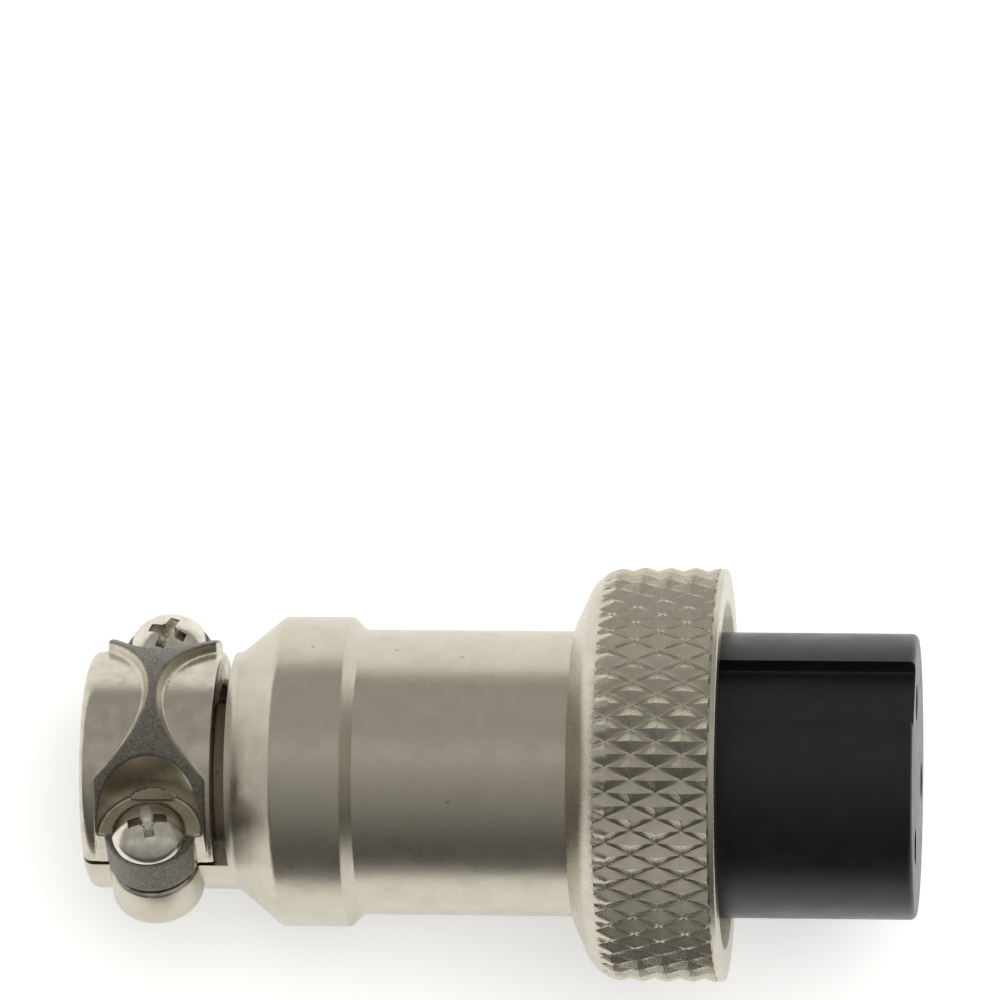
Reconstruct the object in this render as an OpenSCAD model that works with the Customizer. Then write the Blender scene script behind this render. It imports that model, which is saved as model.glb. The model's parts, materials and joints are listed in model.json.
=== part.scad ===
// Cable plug of a common M16x1 circular connector, with three socket contacts.
//
// Each piece is drawn along the plug: x runs from the cable end to the front face,
// y to the clamp ears and z along the clamp screws. lay() then turns every piece
// alike, so that the plug lies as it comes to rest on a table: on its coupling nut,
// on the collar of its back shell and on one clamp ear, with its front towards +X.

/* [Coupling nut] */
// Outer diameter over the knurl
nut_d = 19; // [18:0.1:21]
// Length along the plug
nut_len = 6.9; // [6.4:0.1:9]
// Thread bore, the minor diameter of M16x1
nut_thread_d = 14.92; // [14.8:0.01:15.2]
// Thickness of the lip that pulls on the flange
nut_lip = 1.15; // [0.9:0.05:1.4]
// Radius of the rounded shoulder behind the knurl
nut_round = 2; // [1.6:0.1:2.4]
// Slope of the nut's back, from the plug's axis
nut_back_angle = 66; // [55:1:75]
// Height of the flat ring round the barrel
nut_back_land = 0.27; // [0.1:0.01:0.5]
// Length of the smooth rim in front of the knurl
nut_rim = 0.35; // [0.25:0.05:0.8]
// Distance between knurl points around the nut
knurl_pitch = 1.24; // [1:0.02:1.6]
// Distance between rows of knurl points
knurl_row = 1.2; // [0.9:0.05:1.6]
// Depth of the knurl grooves
knurl_depth = 0.33; // [0.2:0.01:0.4]

/* [Back shell] */
// Outer diameter of the barrel
barrel_d = 13.1; // [12.6:0.1:13.6]
// Length of the barrel, from the collar to the flange
barrel_len = 10.85; // [9:0.05:14]
// Outer diameter of the collar
collar_d = 14.25; // [13.8:0.05:15.2]
// Length of the collar's straight part
collar_len = 3.1; // [2:0.1:5]
// Slope of the cone behind the collar
cone_angle = 43; // [35:1:55]
// Length of the straight neck in front of the clamp slot
neck_len = 0.25; // [0.2:0.05:2]
// Wall over the thread that takes the front sleeve
thread_wall = 0.65; // [0.6:0.05:0.75]
// Length of that thread
shell_thread_len = 5.9; // [5.2:0.1:7]
// Wall round the wiring space
chamber_wall = 0.95; // [0.85:0.05:1.3]

/* [Cable clamp] */
// Outer diameter of the clamp tube
tube_d = 10.9; // [10.4:0.1:11.4]
// Bore for the cable
cable_d = 8; // [7:0.1:8.6]
// Length of the saddle along the cable
saddle_len = 6.1; // [5.4:0.1:7]
// Slot between the saddle and the back shell
slot_w = 0.6; // [0.4:0.05:1]
// Gap between the two halves of the clamp
split_gap = 0.2; // [0.1:0.05:0.4]
// Reach of the ears from the plug's axis
ear_reach = 7.2; // [7:0.1:7.8]
// Radius of an ear's end
ear_r = 2.1; // [1.9:0.05:2.3]
// Thickness of the back shell's ears, below the axis
ear_t = 2.35; // [2:0.05:2.6]
// Radius on the back shell's ears, at their outer edge
ear_edge = 0.35; // [0.2:0.05:0.6]
// Height of the screw seats above the axis
seat_h = 2.2; // [1.9:0.05:2.5]
// Diameter of the spot faces round the screw heads
spot_d = 4.8; // [4.4:0.1:5.2]
// Radius of the rib over the saddle, from the plug's axis
rib_r = 6; // [5.8:0.05:6.4]
// Width of the rib at its ends, over the screws
rib_end_w = 5; // [4.9:0.1:5.8]
// Width of the rib at its waist
rib_waist = 0.3; // [0.2:0.1:1.2]
// Radius of the rib's hollow flanks
rib_flank_r = 7; // [5:0.1:8]
// Slope of the flanks from the clamp screws
rib_flank_angle = 30; // [15:1:45]

/* [Clamp screws] */
// Distance of each screw from the plug's axis
screw_reach = 5.5; // [5.35:0.05:5.6]
// Diameter of the screws, M2
screw_d = 1.94; // [1.7:0.02:2.04]
// Length under the head
screw_len = 4; // [3.5:0.1:4.4]
// Diameter of the head
head_d = 3.4; // [3:0.1:3.8]
// Height of the head
head_h = 1.25; // [1:0.05:1.5]
// Height of the head's straight edge
head_edge = 0.4; // [0.2:0.05:0.6]
// Width of the cross recess
recess_w = 0.45; // [0.3:0.05:0.6]
// Span of the cross recess
recess_span = 1.9; // [1.4:0.1:2.2]
// Depth of the cross recess
recess_t = 0.7; // [0.4:0.05:0.8]

/* [Front sleeve] */
// Radial clearance of its flange inside the coupling thread
flange_gap = 0.26; // [0.1:0.02:0.4]
// Thickness of the flange
flange_t = 1.1; // [0.8:0.1:1.4]
// Length of the threaded part behind the flange
sleeve_len = 5.05; // [4.6:0.05:5.6]
// Wall of the sleeve
sleeve_wall = 0.55; // [0.45:0.05:0.6]
// Diameter of the locking screw
lock_d = 1.9; // [1.6:0.1:2]
// Distance of the locking screw from the barrel's front
lock_back = 3.1; // [2.4:0.1:3.6]

/* [Insulator] */
// Diameter of the front part
insert_d = 13.1; // [12.8:0.05:13.2]
// Length in front of the flange
insert_len = 13.3; // [11:0.1:16]
// Length of the spigot through the sleeve
spigot_len = 6.75; // [6.2:0.05:7.4]
// Bevel round the front face
insert_bevel = 0.3; // [0.1:0.05:0.5]
// Width of the keyway
key_w = 3.4; // [2.4:0.1:3.8]
// Depth of the keyway
key_t = 1; // [0.6:0.1:1.2]

/* [Contacts] */
// Wall of the insulator outside each contact
contact_wall = 0.35; // [0.3:0.05:0.5]
// Turn of the first contact from the keyway
contact_turn = 25; // [0:1:60]
// Outer diameter of a socket
contact_d = 2.1; // [1.9:0.05:2.15]
// Bore of a socket
socket_d = 1.36; // [1.2:0.02:1.5]
// Depth of a socket
socket_len = 8; // [5:0.5:10]
// Diameter of the opening in the front face
mouth_d = 1.7; // [1.65:0.05:2]
// Depth of a socket's end below the front face
contact_inset = 1.15; // [0.8:0.05:2]
// Diameter of the shoulder behind the insulator
shoulder_d = 2.7; // [2.5:0.1:3]
// Thickness of the shoulder
shoulder_t = 0.8; // [0.5:0.1:1.2]
// Diameter of the solder cup
cup_d = 2.4; // [2.2:0.1:2.6]
// Length of the solder cup
cup_len = 3.2; // [2.6:0.1:4]
// Wall of the solder cup
cup_wall = 0.35; // [0.25:0.05:0.45]

/* [Fits] */
// Radial clearance of the nut on the barrel
nut_play = 0.08; // [0.04:0.01:0.1]
// Axial clearance between the nut's lip and the flange
lip_play = 0.1; // [0.05:0.05:0.3]
// Radial clearance of threads and plain seats
seat_play = 0.05; // [0.02:0.01:0.08]
// Radial clearance of the screws in the saddle
screw_play = 0.18; // [0.1:0.02:0.25]

/* [Hidden] */

round_fn = 96;
// Overshoot of cutting tools past the faces that they cut
past = 1;
edge_round = 0.5;
fine_edge = 0.15;
neck_fillet = 0.6;
collar_round = 0.4;
bore_wall = 1.9;
slit_w = 0.25;
slit_len = 5.5;
knurl_core = 0.1;
knurl_root = 0.25;
knurl_bury = 0.04;
lock_slot = 0.3;

nut_r = nut_d / 2;
barrel_r = barrel_d / 2;
collar_r = collar_d / 2;
tube_r = tube_d / 2;
cable_r = cable_d / 2;
insert_r = insert_d / 2;
shell_thread_r = barrel_r - thread_wall;
chamber_r = barrel_r - chamber_wall;
sleeve_r = shell_thread_r - seat_play;
sleeve_bore_r = sleeve_r - sleeve_wall;
spigot_r = sleeve_bore_r - seat_play;
flange_r = nut_thread_d / 2 - flange_gap;
contact_r = contact_d / 2;
contact_circle_r = spigot_r - contact_wall - contact_r - seat_play;

// Stations along the plug, from the cable end
screw_x = saddle_len * 0.54;
slot_x = saddle_len + slot_w;
fillet_x = slot_x + neck_len;
cone_foot = [tube_r + neck_fillet * (1 - cos(cone_angle)),
             fillet_x + neck_fillet * sin(cone_angle)];
cone_top_r = collar_r - collar_round * (1 - cos(cone_angle));
cone_top_x = cone_foot[1] + (cone_top_r - cone_foot[0]) / tan(cone_angle);
collar_x = cone_top_x + collar_round * sin(cone_angle);
collar_end_x = collar_x + collar_len;
barrel_x = collar_end_x + collar_r - barrel_r;
flange_x = barrel_x + barrel_len;
insert_x = flange_x + flange_t;
front_x = insert_x + insert_len;
nut_x = flange_x - lip_play - nut_lip;
spigot_x = insert_x - spigot_len;
contact_end_x = front_x - contact_inset;
lock_x = flange_x - lock_back;

// The nut's shoulder and the band that the knurl fills, from the nut's back
nut_bore_r = barrel_r + nut_play;
nut_land_r = nut_bore_r + nut_back_land;
nut_round_r = nut_r - nut_round;
nut_slope_x = (nut_round_r + nut_round * cos(nut_back_angle) - nut_land_r) / tan(nut_back_angle);
nut_round_x = nut_slope_x + nut_round * sin(nut_back_angle);
knurl_edge_r = nut_r - fine_edge;
knurl_edge_angle = acos(1 - fine_edge / nut_round);
knurl_x = nut_round_x - nut_round * sin(knurl_edge_angle);
knurl_end_x = nut_len - nut_rim;
knurl_core_r = nut_r - knurl_depth - knurl_core;
knurl_n = round(PI * nut_d / knurl_pitch);
knurl_rows = round((knurl_end_x - knurl_x) / knurl_row);

// How the plug lies: the collar's round edge and the edge of the knurl meet the table
rest_r = collar_r - collar_round;
rest_rise = knurl_edge_r - rest_r;
rest_run = nut_x + knurl_x - collar_x;
pitch = atan2(rest_rise, rest_run) - asin(collar_round / norm([rest_rise, rest_run]));
rest_h = knurl_edge_r * cos(pitch) - (nut_x + knurl_x) * sin(pitch);
// The ear's outer edge meets the table too, which sets the roll
ear_out = ear_reach - ear_edge;
ear_down = ear_t - ear_edge;
ear_drop = (rest_h + screw_x * sin(pitch) - ear_edge) / cos(pitch);
roll = asin(ear_drop / norm([ear_out, ear_down])) - atan2(ear_down, ear_out);
// The middle of its length stands over the origin
rear_reach = (tube_r - edge_round) * sin(pitch) + edge_round - edge_round * cos(pitch);
front_reach = front_x * cos(pitch) + (insert_r - insert_bevel) * sin(pitch);
mid_x = (front_reach - rear_reach) / 2;

function arc(centre, r, from, to, n = 8) =
    [for (i = [0:n]) centre + r * [for (f = [0, 90]) cos(from + (to - from) * i / n - f)]];

// Sets a piece down from the plug's own axes to where it lies
module lay()
    translate([-mid_x, 0, rest_h])
        rotate([0, -pitch, 0])
            rotate([-roll, 0, 0])
                children();

// Turns an outline of [radius, station] points about the plug's axis
module turned(outline)
    rotate([0, 90, 0])
        rotate_extrude($fn = round_fn)
            polygon(outline);

// Round bar or hole along the plug
module rod(r, from, to)
    translate([from, 0, 0])
        rotate([0, 90, 0])
            cylinder(r = r, h = to - from, $fn = round_fn);

// Round bar or hole along the clamp screws, at one of the two ears
module pillar(side, reach, r, from, to)
    translate([screw_x, side * reach, from])
        cylinder(r = r, h = to - from, $fn = round_fn);

// Plan of one ear: a round end and a root that runs into the tube
module ear_plan(side)
    translate([screw_x, 0]) {
        translate([0, side * (ear_reach - ear_r)])
            circle(r = ear_r, $fn = round_fn);
        translate([-ear_r, side > 0 ? cable_r + fine_edge : -(ear_reach - ear_r)])
            square([2 * ear_r, ear_reach - ear_r - cable_r - fine_edge]);
    }

// One piece: the barrel, the collar, the neck and the fixed half of the clamp
module back_shell()
    color("lightgray")
        lay()
            difference() {
                union() {
                    difference() {
                        turned(shell_outline());
                        translate([-past, -collar_d, -split_gap / 2])
                            cube([slot_x + past, 2 * collar_d, collar_d]);
                    }
                    for (side = [-1, 1])
                        shell_ear(side);
                }
                turned(shell_bore());
                for (side = [-1, 1])
                    pillar(side, screw_reach, screw_d / 2 + seat_play, -ear_t - past, past);
                lock_hole(lock_d / 2 + seat_play);
            }

function shell_outline() = concat(
    [[0, 0]],
    arc([tube_r - edge_round, edge_round], edge_round, -90, 0),
    arc([tube_r + neck_fillet, fillet_x], neck_fillet, 180, 180 - cone_angle),
    arc([collar_r - collar_round, collar_x], collar_round, -cone_angle, 0),
    [[collar_r, collar_end_x], [barrel_r, barrel_x], [barrel_r, flange_x - fine_edge],
     [barrel_r - fine_edge, flange_x], [0, flange_x]]);

function shell_bore() = [
    [0, -past],
    [cable_r + fine_edge + past, -past],
    [cable_r, fine_edge],
    [cable_r, slot_x + bore_wall],
    [chamber_r, slot_x + bore_wall + chamber_r - cable_r],
    [chamber_r, flange_x - shell_thread_len],
    [shell_thread_r, flange_x - shell_thread_len],
    [shell_thread_r, flange_x + past],
    [0, flange_x + past]];

// Ear of the back shell, with its outer edge rounded
module shell_ear(side)
    intersection() {
        translate([0, 0, -ear_t])
            linear_extrude(ear_t - split_gap / 2)
                ear_plan(side);
        translate([screw_x + ear_r + past, 0, 0])
            rotate([0, -90, 0])
                linear_extrude(2 * (ear_r + past))
                    polygon([for (p = ear_side()) [p[1], side * p[0]]]);
    }

function ear_side() = concat(
    [[0, past], [0, -ear_t]],
    arc([ear_reach - ear_edge, -ear_t + ear_edge], ear_edge, -90, 0),
    [[ear_reach, past]]);

// Hole for the locking screw, from below through the barrel and the sleeve
module lock_hole(r)
    translate([lock_x, 0, -barrel_r - past])
        cylinder(r = r, h = barrel_r + past - sleeve_bore_r + fine_edge, $fn = round_fn);

// Loose half of the clamp, with a rib over its back and a seat for each screw
module clamp_saddle()
    color("gainsboro")
        lay()
            difference() {
                union() {
                    turned(saddle_outline());
                    saddle_rib();
                    for (side = [-1, 1])
                        linear_extrude(seat_h)
                            ear_plan(side);
                }
                translate([-past, -collar_d, split_gap / 2 - collar_d])
                    cube([slot_x + 2 * past, 2 * collar_d, collar_d]);
                rod(cable_r, -past, saddle_len + past);
                for (side = [-1, 1]) {
                    pillar(side, screw_reach, spot_d / 2, seat_h, rib_r + past);
                    pillar(side, screw_reach, screw_d / 2 + screw_play, -past, seat_h + past);
                }
            }

function saddle_outline() = concat(
    [[0, 0]],
    arc([tube_r - edge_round, edge_round], edge_round, -90, 0),
    arc([tube_r - fine_edge, saddle_len - fine_edge], fine_edge, 0, 90, 3),
    [[0, saddle_len]]);

// The rib is narrow at its crown and flares towards both screws
module saddle_rib()
    intersection() {
        rod(rib_r, screw_x - rib_end_w / 2, screw_x + rib_end_w / 2);
        difference() {
            translate([0, -screw_reach, 0])
                cube([2 * saddle_len, 2 * screw_reach, rib_r + past]);
            for (side = [-1, 1])
                translate([screw_x + side * rib_waist / 2, 0, rib_r])
                    rotate([0, -side * rib_flank_angle, 0])
                        translate([side * rib_flank_r, 0, 0])
                            cylinder(r = rib_flank_r, h = 3 * rib_r, center = true, $fn = round_fn);
        }
    }

// Two pan-head screws with a cross recess
module clamp_screws()
    color("silver")
        lay()
            for (side = [-1, 1])
                translate([screw_x, side * screw_reach, seat_h])
                    pan_screw();

module pan_screw() {
    rise = head_h - head_edge;
    dome_r = (pow(head_d / 2, 2) + pow(rise, 2)) / (2 * rise);
    difference() {
        union() {
            translate([0, 0, -screw_len])
                cylinder(d = screw_d, h = screw_len + head_edge, $fn = round_fn);
            intersection() {
                cylinder(d = head_d, h = head_h, $fn = round_fn);
                translate([0, 0, head_h - dome_r])
                    sphere(r = dome_r, $fn = round_fn);
            }
        }
        for (turn = [0, 90])
            rotate([0, 0, turn])
                translate([-recess_span / 2, -recess_w / 2, head_h - recess_t])
                    cube([recess_span, recess_w, recess_t + past]);
    }
}

// Threaded ring with a diamond knurl
module coupling_nut()
    color("lightgray")
        lay()
            translate([nut_x, 0, 0]) {
                turned(nut_outline());
                knurl_band();
            }

function nut_outline() = concat(
    [[nut_bore_r, 0], [nut_land_r, 0]],
    arc([nut_round_r, nut_round_x], nut_round, -nut_back_angle, -knurl_edge_angle),
    [[knurl_core_r, knurl_x], [knurl_core_r, knurl_end_x],
     [knurl_edge_r, knurl_end_x], [knurl_edge_r, nut_len - fine_edge],
     [knurl_edge_r - fine_edge, nut_len],
     [nut_thread_d / 2 + 4 * fine_edge, nut_len],
     [nut_thread_d / 2, nut_len - 4 * fine_edge],
     [nut_thread_d / 2, 2 * nut_lip],
     [nut_thread_d / 2 + 3 * fine_edge, 2 * nut_lip - 3 * fine_edge],
     [nut_thread_d / 2 + 3 * fine_edge, nut_lip],
     [nut_bore_r, nut_lip]]);

// Rows of points that stand over crossing grooves. Points and groove crossings
// alternate round each row, and each next row is turned by half a pitch.
module knurl_band() {
    around = 2 * knurl_n;
    outer = [for (row = [0:knurl_rows]) for (i = [0:around - 1])
        knurl_point(knurl_r(row, i), i, row)];
    inner = [for (row = [0, knurl_rows]) for (i = [0:around - 1])
        knurl_point(knurl_core_r - knurl_root, i, row)];
    first = len(outer);
    last = first + around;
    top = knurl_rows * around;
    polyhedron(points = concat(outer, inner), faces = concat(
        [for (row = [0:knurl_rows - 1]) for (i = [0:around - 1])
            for (face = knurl_cell(row * around, i, (i + 1) % around, around, (row + i) % 2 == 0))
                face],
        [for (i = [0:around - 1]) let (k = (i + 1) % around)
            [i, k, first + k, first + i]],
        [for (i = [0:around - 1]) let (k = (i + 1) % around)
            [last + i, last + k, top + k, top + i]],
        [for (i = [0:around - 1]) let (k = (i + 1) % around)
            [first + i, first + k, last + k, last + i]]));
}

function knurl_r(row, i) =
    (row + i) % 2 == 1 ? nut_r - knurl_depth
    : row == 0 || row == knurl_rows ? knurl_edge_r - fine_edge / 3
    : nut_r;

function knurl_point(r, i, row) =
    let (from = knurl_x - knurl_bury, to = knurl_end_x + knurl_bury)
    [from + (to - from) * row / knurl_rows, r * cos(180 * i / knurl_n), r * sin(180 * i / knurl_n)];

// Two triangles of one cell, folded along the groove
function knurl_cell(base, i, k, around, high) =
    high ? [[base + i, base + around + i, base + k], [base + k, base + around + i, base + around + k]]
         : [[base + i, base + around + k, base + k], [base + i, base + around + i, base + around + k]];

// Flanged bush that screws into the back shell and holds the nut and the insulator
module front_sleeve()
    color("silver")
        lay()
            difference() {
                turned([
                    [sleeve_bore_r, flange_x - sleeve_len],
                    [sleeve_r - fine_edge, flange_x - sleeve_len],
                    [sleeve_r, flange_x - sleeve_len + fine_edge],
                    [sleeve_r, flange_x],
                    [flange_r, flange_x],
                    [flange_r, insert_x],
                    [sleeve_bore_r, insert_x]]);
                lock_hole(lock_d / 2 + seat_play);
            }

// Slotted grub screw that locks the sleeve in the back shell
module lock_screw()
    color("silver")
        lay()
            difference() {
                translate([lock_x, 0, fine_edge - barrel_r])
                    cylinder(d = lock_d, h = barrel_r - 2 * fine_edge - sleeve_bore_r, $fn = round_fn);
                translate([lock_x - lock_d, -lock_slot / 2, -barrel_r])
                    cube([2 * lock_d, lock_slot, fine_edge + lock_slot]);
            }

// Moulded insert, with a keyway on top and a hole for each contact
module insulator()
    color([0.1, 0.1, 0.12])
        lay()
            difference() {
                turned([
                    [0, spigot_x],
                    [spigot_r, spigot_x],
                    [spigot_r, insert_x],
                    [insert_r, insert_x],
                    [insert_r, front_x - insert_bevel],
                    [insert_r - insert_bevel, front_x],
                    [0, front_x]]);
                translate([insert_x - past, -key_w / 2, insert_r - key_t])
                    cube([insert_len + 2 * past, key_w, key_t + past]);
                for (i = [1:3])
                    at_contact(i) {
                        rod(contact_r + seat_play, spigot_x - past, contact_end_x + seat_play);
                        rod(mouth_d / 2, contact_end_x, front_x + past);
                    }
            }

// Places its children on the axis of one contact
module at_contact(i)
    rotate([-contact_turn - 120 * (i - 1), 0, 0])
        translate([0, 0, contact_circle_r])
            children();

// Turned socket with two springs at the front and a solder cup at the back
module contact(i)
    color("gold")
        lay()
            at_contact(i)
                difference() {
                    turned([
                        [0, spigot_x - shoulder_t - cup_len],
                        [cup_d / 2, spigot_x - shoulder_t - cup_len],
                        [cup_d / 2, spigot_x - shoulder_t],
                        [shoulder_d / 2, spigot_x - shoulder_t],
                        [shoulder_d / 2, spigot_x],
                        [contact_r, spigot_x],
                        [contact_r, contact_end_x - fine_edge],
                        [contact_r - fine_edge, contact_end_x],
                        [0, contact_end_x]]);
                    rod(socket_d / 2, contact_end_x - socket_len, contact_end_x + past);
                    rod(cup_d / 2 - cup_wall, spigot_x - shoulder_t - cup_len - past,
                        spigot_x - shoulder_t - cup_wall);
                    // The cup is open on one side, and the socket is slit
                    translate([spigot_x - shoulder_t - cup_len - past, -cup_d, 0])
                        cube([past + cup_len / 2, 2 * cup_d, cup_d]);
                    translate([contact_end_x - slit_len, -slit_w / 2, -contact_d])
                        cube([slit_len + past, slit_w, 2 * contact_d]);
                }

module contact_1() contact(1);
module contact_2() contact(2);
module contact_3() contact(3);

back_shell();
clamp_saddle();
clamp_screws();
coupling_nut();
front_sleeve();
lock_screw();
insulator();
contact_1();
contact_2();
contact_3();
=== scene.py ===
"""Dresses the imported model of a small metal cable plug: turned and plated shell, cast clamp
saddle, cross-head screws, knurled coupling nut, moulded insert and turned contacts.

Every piece is drawn in millimetres along the plug's own axes, x from the cable end to the
front face, y to the clamp ears and z along the clamp screws, and is then set down on the
frame by one matrix that is read from the frame's joints.
"""

import json
import math
from types import SimpleNamespace

import bmesh
import bpy
from mathutils import Matrix, Vector


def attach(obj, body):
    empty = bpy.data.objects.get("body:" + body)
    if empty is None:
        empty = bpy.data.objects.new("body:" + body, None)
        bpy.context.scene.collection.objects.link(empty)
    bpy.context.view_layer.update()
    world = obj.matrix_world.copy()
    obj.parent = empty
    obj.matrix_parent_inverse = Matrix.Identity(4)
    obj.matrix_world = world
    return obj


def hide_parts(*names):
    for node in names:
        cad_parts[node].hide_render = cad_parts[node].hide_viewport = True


bl_info = {
    "name": "Circular cable plug",
    "version": (1, 0, 0),
    "blender": (4, 5, 0),
    "location": "View3D > Sidebar > Plug",
    "description": "Models the pieces of a screwed circular cable plug round its packed frame",
    "category": "Object",
}

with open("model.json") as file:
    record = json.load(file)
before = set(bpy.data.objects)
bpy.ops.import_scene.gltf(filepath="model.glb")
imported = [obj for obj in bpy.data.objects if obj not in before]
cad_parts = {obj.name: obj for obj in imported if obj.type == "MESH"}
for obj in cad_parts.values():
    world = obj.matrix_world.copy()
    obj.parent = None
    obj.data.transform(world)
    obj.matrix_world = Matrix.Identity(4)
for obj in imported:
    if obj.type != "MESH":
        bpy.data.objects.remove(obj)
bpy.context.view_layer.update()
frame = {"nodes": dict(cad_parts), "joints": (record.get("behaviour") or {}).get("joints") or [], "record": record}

MM = 1000.0
JOINTS = {joint["name"]: joint for joint in frame["joints"]}
MOUNTS = {mount["name"]: mount for mount in frame["record"]["mounts"]}
BODIES = {
    node: body
    for body, nodes in frame["record"]["behaviour"]["bodies"].items()
    for node in nodes
}


# ---------------------------------------------------------------- the plug's own axes

AHEAD = Vector(JOINTS["nut_spin"]["axis"]).normalized()
LIFT = Vector(JOINTS["clamp_slide"]["axis"]).normalized()
SIDE = LIFT.cross(AHEAD)
ON_AXIS = Vector(JOINTS["nut_spin"]["pos_m"])


def along(point):
    """How far ahead of the joint's place on the axis a point is, in metres."""
    return (point - ON_AXIS).dot(AHEAD)


CABLE_END = ON_AXIS + AHEAD * min(along(v.co) for v in frame["nodes"]["back_shell"].data.vertices)
TURN = Matrix((AHEAD, SIDE, LIFT)).transposed().to_4x4()
TO_FRAME = Matrix.Translation(CABLE_END) @ TURN @ Matrix.Scale(1 / MM, 4)
TO_PLUG = TO_FRAME.inverted()


def plug_points(node):
    """The points of a CAD node along the plug's own axes, in millimetres."""
    return [TO_PLUG @ v.co for v in frame["nodes"][node].data.vertices]


def radius_of(point):
    return math.hypot(point.y, point.z)


def extent(node):
    """Where a CAD node starts and ends along the plug, and its outer radius."""
    points = plug_points(node)
    return SimpleNamespace(
        start=min(p.x for p in points),
        end=max(p.x for p in points),
        radius=max(radius_of(p) for p in points),
        bore=min(radius_of(p) for p in points),
    )


def on_plug(mount):
    """A mount's place along the plug's own axes, in millimetres."""
    return TO_PLUG @ Vector(MOUNTS[mount]["pos_m"])


# ---------------------------------------------------------------- sizes and colours


def size(name, description, millimetres):
    """A length that a user may change, given in millimetres."""
    return bpy.props.FloatProperty(
        name=name,
        description=description,
        default=millimetres / MM,
        min=0.0,
        precision=6,
        unit="LENGTH",
    )


def slope(name, description, degrees):
    """An angle that a user may change, given in degrees."""
    return bpy.props.FloatProperty(
        name=name,
        description=description,
        default=math.radians(degrees),
        subtype="ANGLE",
        unit="ROTATION",
    )


def colour(name, description, value):
    """A colour that a user may change, in linear light."""
    return bpy.props.FloatVectorProperty(
        name=name,
        description=description,
        default=value,
        subtype="COLOR",
        size=3,
        min=0.0,
        max=1.0,
    )


class PlugShellSizes(bpy.types.PropertyGroup):
    barrel: size("Barrel", "Outer diameter of the barrel", 13.1)
    collar: size("Collar", "Outer diameter of the collar", 14.25)
    collar_length: size("Collar length", "Length of the collar's straight part", 3.1)
    cone: slope("Cone", "Slope of the cone behind the collar, from the axis", 43)
    tube: size("Tube", "Outer diameter of the clamp's tube", 10.9)
    tube_edge: size("Tube edge", "Radius on the end of the clamp's tube", 0.5)
    cable: size("Cable bore", "Diameter of the bore for the cable", 8)
    lead_in: size("Lead-in", "Chamfer at the cable's entry", 0.15)
    cable_run: size("Cable run", "Length of the cable bore in front of the slot", 1.9)
    saddle: size("Saddle", "Length of the part of the tube that the saddle covers", 6.1)
    slot: size("Slot", "Gap between the saddle and the neck", 0.6)
    neck: size("Neck", "Length of the straight neck", 0.25)
    neck_round: size("Neck round", "Radius between the neck and the cone", 0.6)
    shoulder: size("Shoulder", "Radius between the cone and the collar", 0.4)
    edge: size("Edges", "Radius on the turned edges", 0.16)
    chamber: size("Chamber", "Diameter of the wiring space", 11.2)
    thread: size("Thread", "Bore of the thread for the sleeve", 11.8)
    thread_length: size("Thread length", "Length of the thread for the sleeve", 5.9)
    split: size("Split", "Gap between the two halves of the clamp", 0.2)


class PlugClampSizes(bpy.types.PropertyGroup):
    reach: size("Ear reach", "Reach of the ears from the axis", 7.2)
    ear_round: size("Ear round", "Radius of an ear's end", 2.1)
    ear: size("Ear thickness", "Thickness of the shell's ears under the split", 2.35)
    seat: size("Seat height", "Height of the screw seats over the axis", 2.2)
    spot: size("Spot face", "Diameter of the spot faces round the screw heads", 4.8)
    rib: size("Rib", "Diameter over the rib on the saddle", 12)
    rib_end: size("Rib ends", "Width of the rib over the screws", 5)
    waist: size("Rib waist", "Width of the rib at its crown", 0.3)
    flank: size("Rib flanks", "Radius of the rib's hollow flanks", 7)
    flank_slope: slope("Flank slope", "Slope of the flanks from the clamp screws", 30)
    screw_reach: size("Screw reach", "Distance of each screw from the axis", 5.5)
    screw: size("Screw", "Diameter of the clamp screws", 1.94)
    screw_length: size("Screw length", "Length of a screw under its head", 4)
    screw_pitch: size("Screw pitch", "Pitch of the screws' thread", 0.4)
    head: size("Head", "Diameter of a screw head", 3.4)
    head_height: size("Head height", "Height of a screw head", 1.25)
    head_edge: size("Head edge", "Height of the straight edge of a head", 0.35)
    recess: size("Recess", "Span of the cross recess", 2)
    recess_width: size("Recess width", "Width of the cross recess", 0.5)
    recess_depth: size("Recess depth", "Depth of the cross recess", 0.8)
    grain: size("Cast grain", "Height of the cast grain on the rib", 0.05)
    skin: size("Skin", "Size of the mesh that gives the casting its soft edges", 0.065)
    clearance: size("Clearance", "Radial clearance of the screws in the saddle", 0.18)


class PlugNutSizes(bpy.types.PropertyGroup):
    back_slope: slope("Back slope", "Slope of the nut's back, from the axis", 66)
    back_round: size("Back round", "Radius of the shoulder behind the knurl", 2)
    land: size("Back land", "Height of the flat ring round the barrel", 0.27)
    lip: size("Lip", "Thickness of the lip behind the flange", 1.15)
    thread: size("Thread", "Minor diameter of the coupling thread", 14.92)
    thread_pitch: size("Thread pitch", "Pitch of the coupling thread", 1)
    thread_depth: size("Thread depth", "Depth of the coupling thread", 0.5)
    rim: size("Rim", "Length of the plain rim in front of the knurl", 0.35)
    rim_groove: size("Rim groove", "Depth of the fine groove behind the rim", 0.14)
    edge: size("Edges", "Radius on the nut's edges", 0.12)
    knurl_row: size("Knurl row", "Distance between rows of knurl points", 1.15)
    knurl_depth: size("Knurl depth", "Depth of the knurl grooves", 0.33)
    knurl_count: bpy.props.IntProperty(
        name="Knurl points", description="Knurl points in one row around the nut", default=50, min=12
    )


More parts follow.
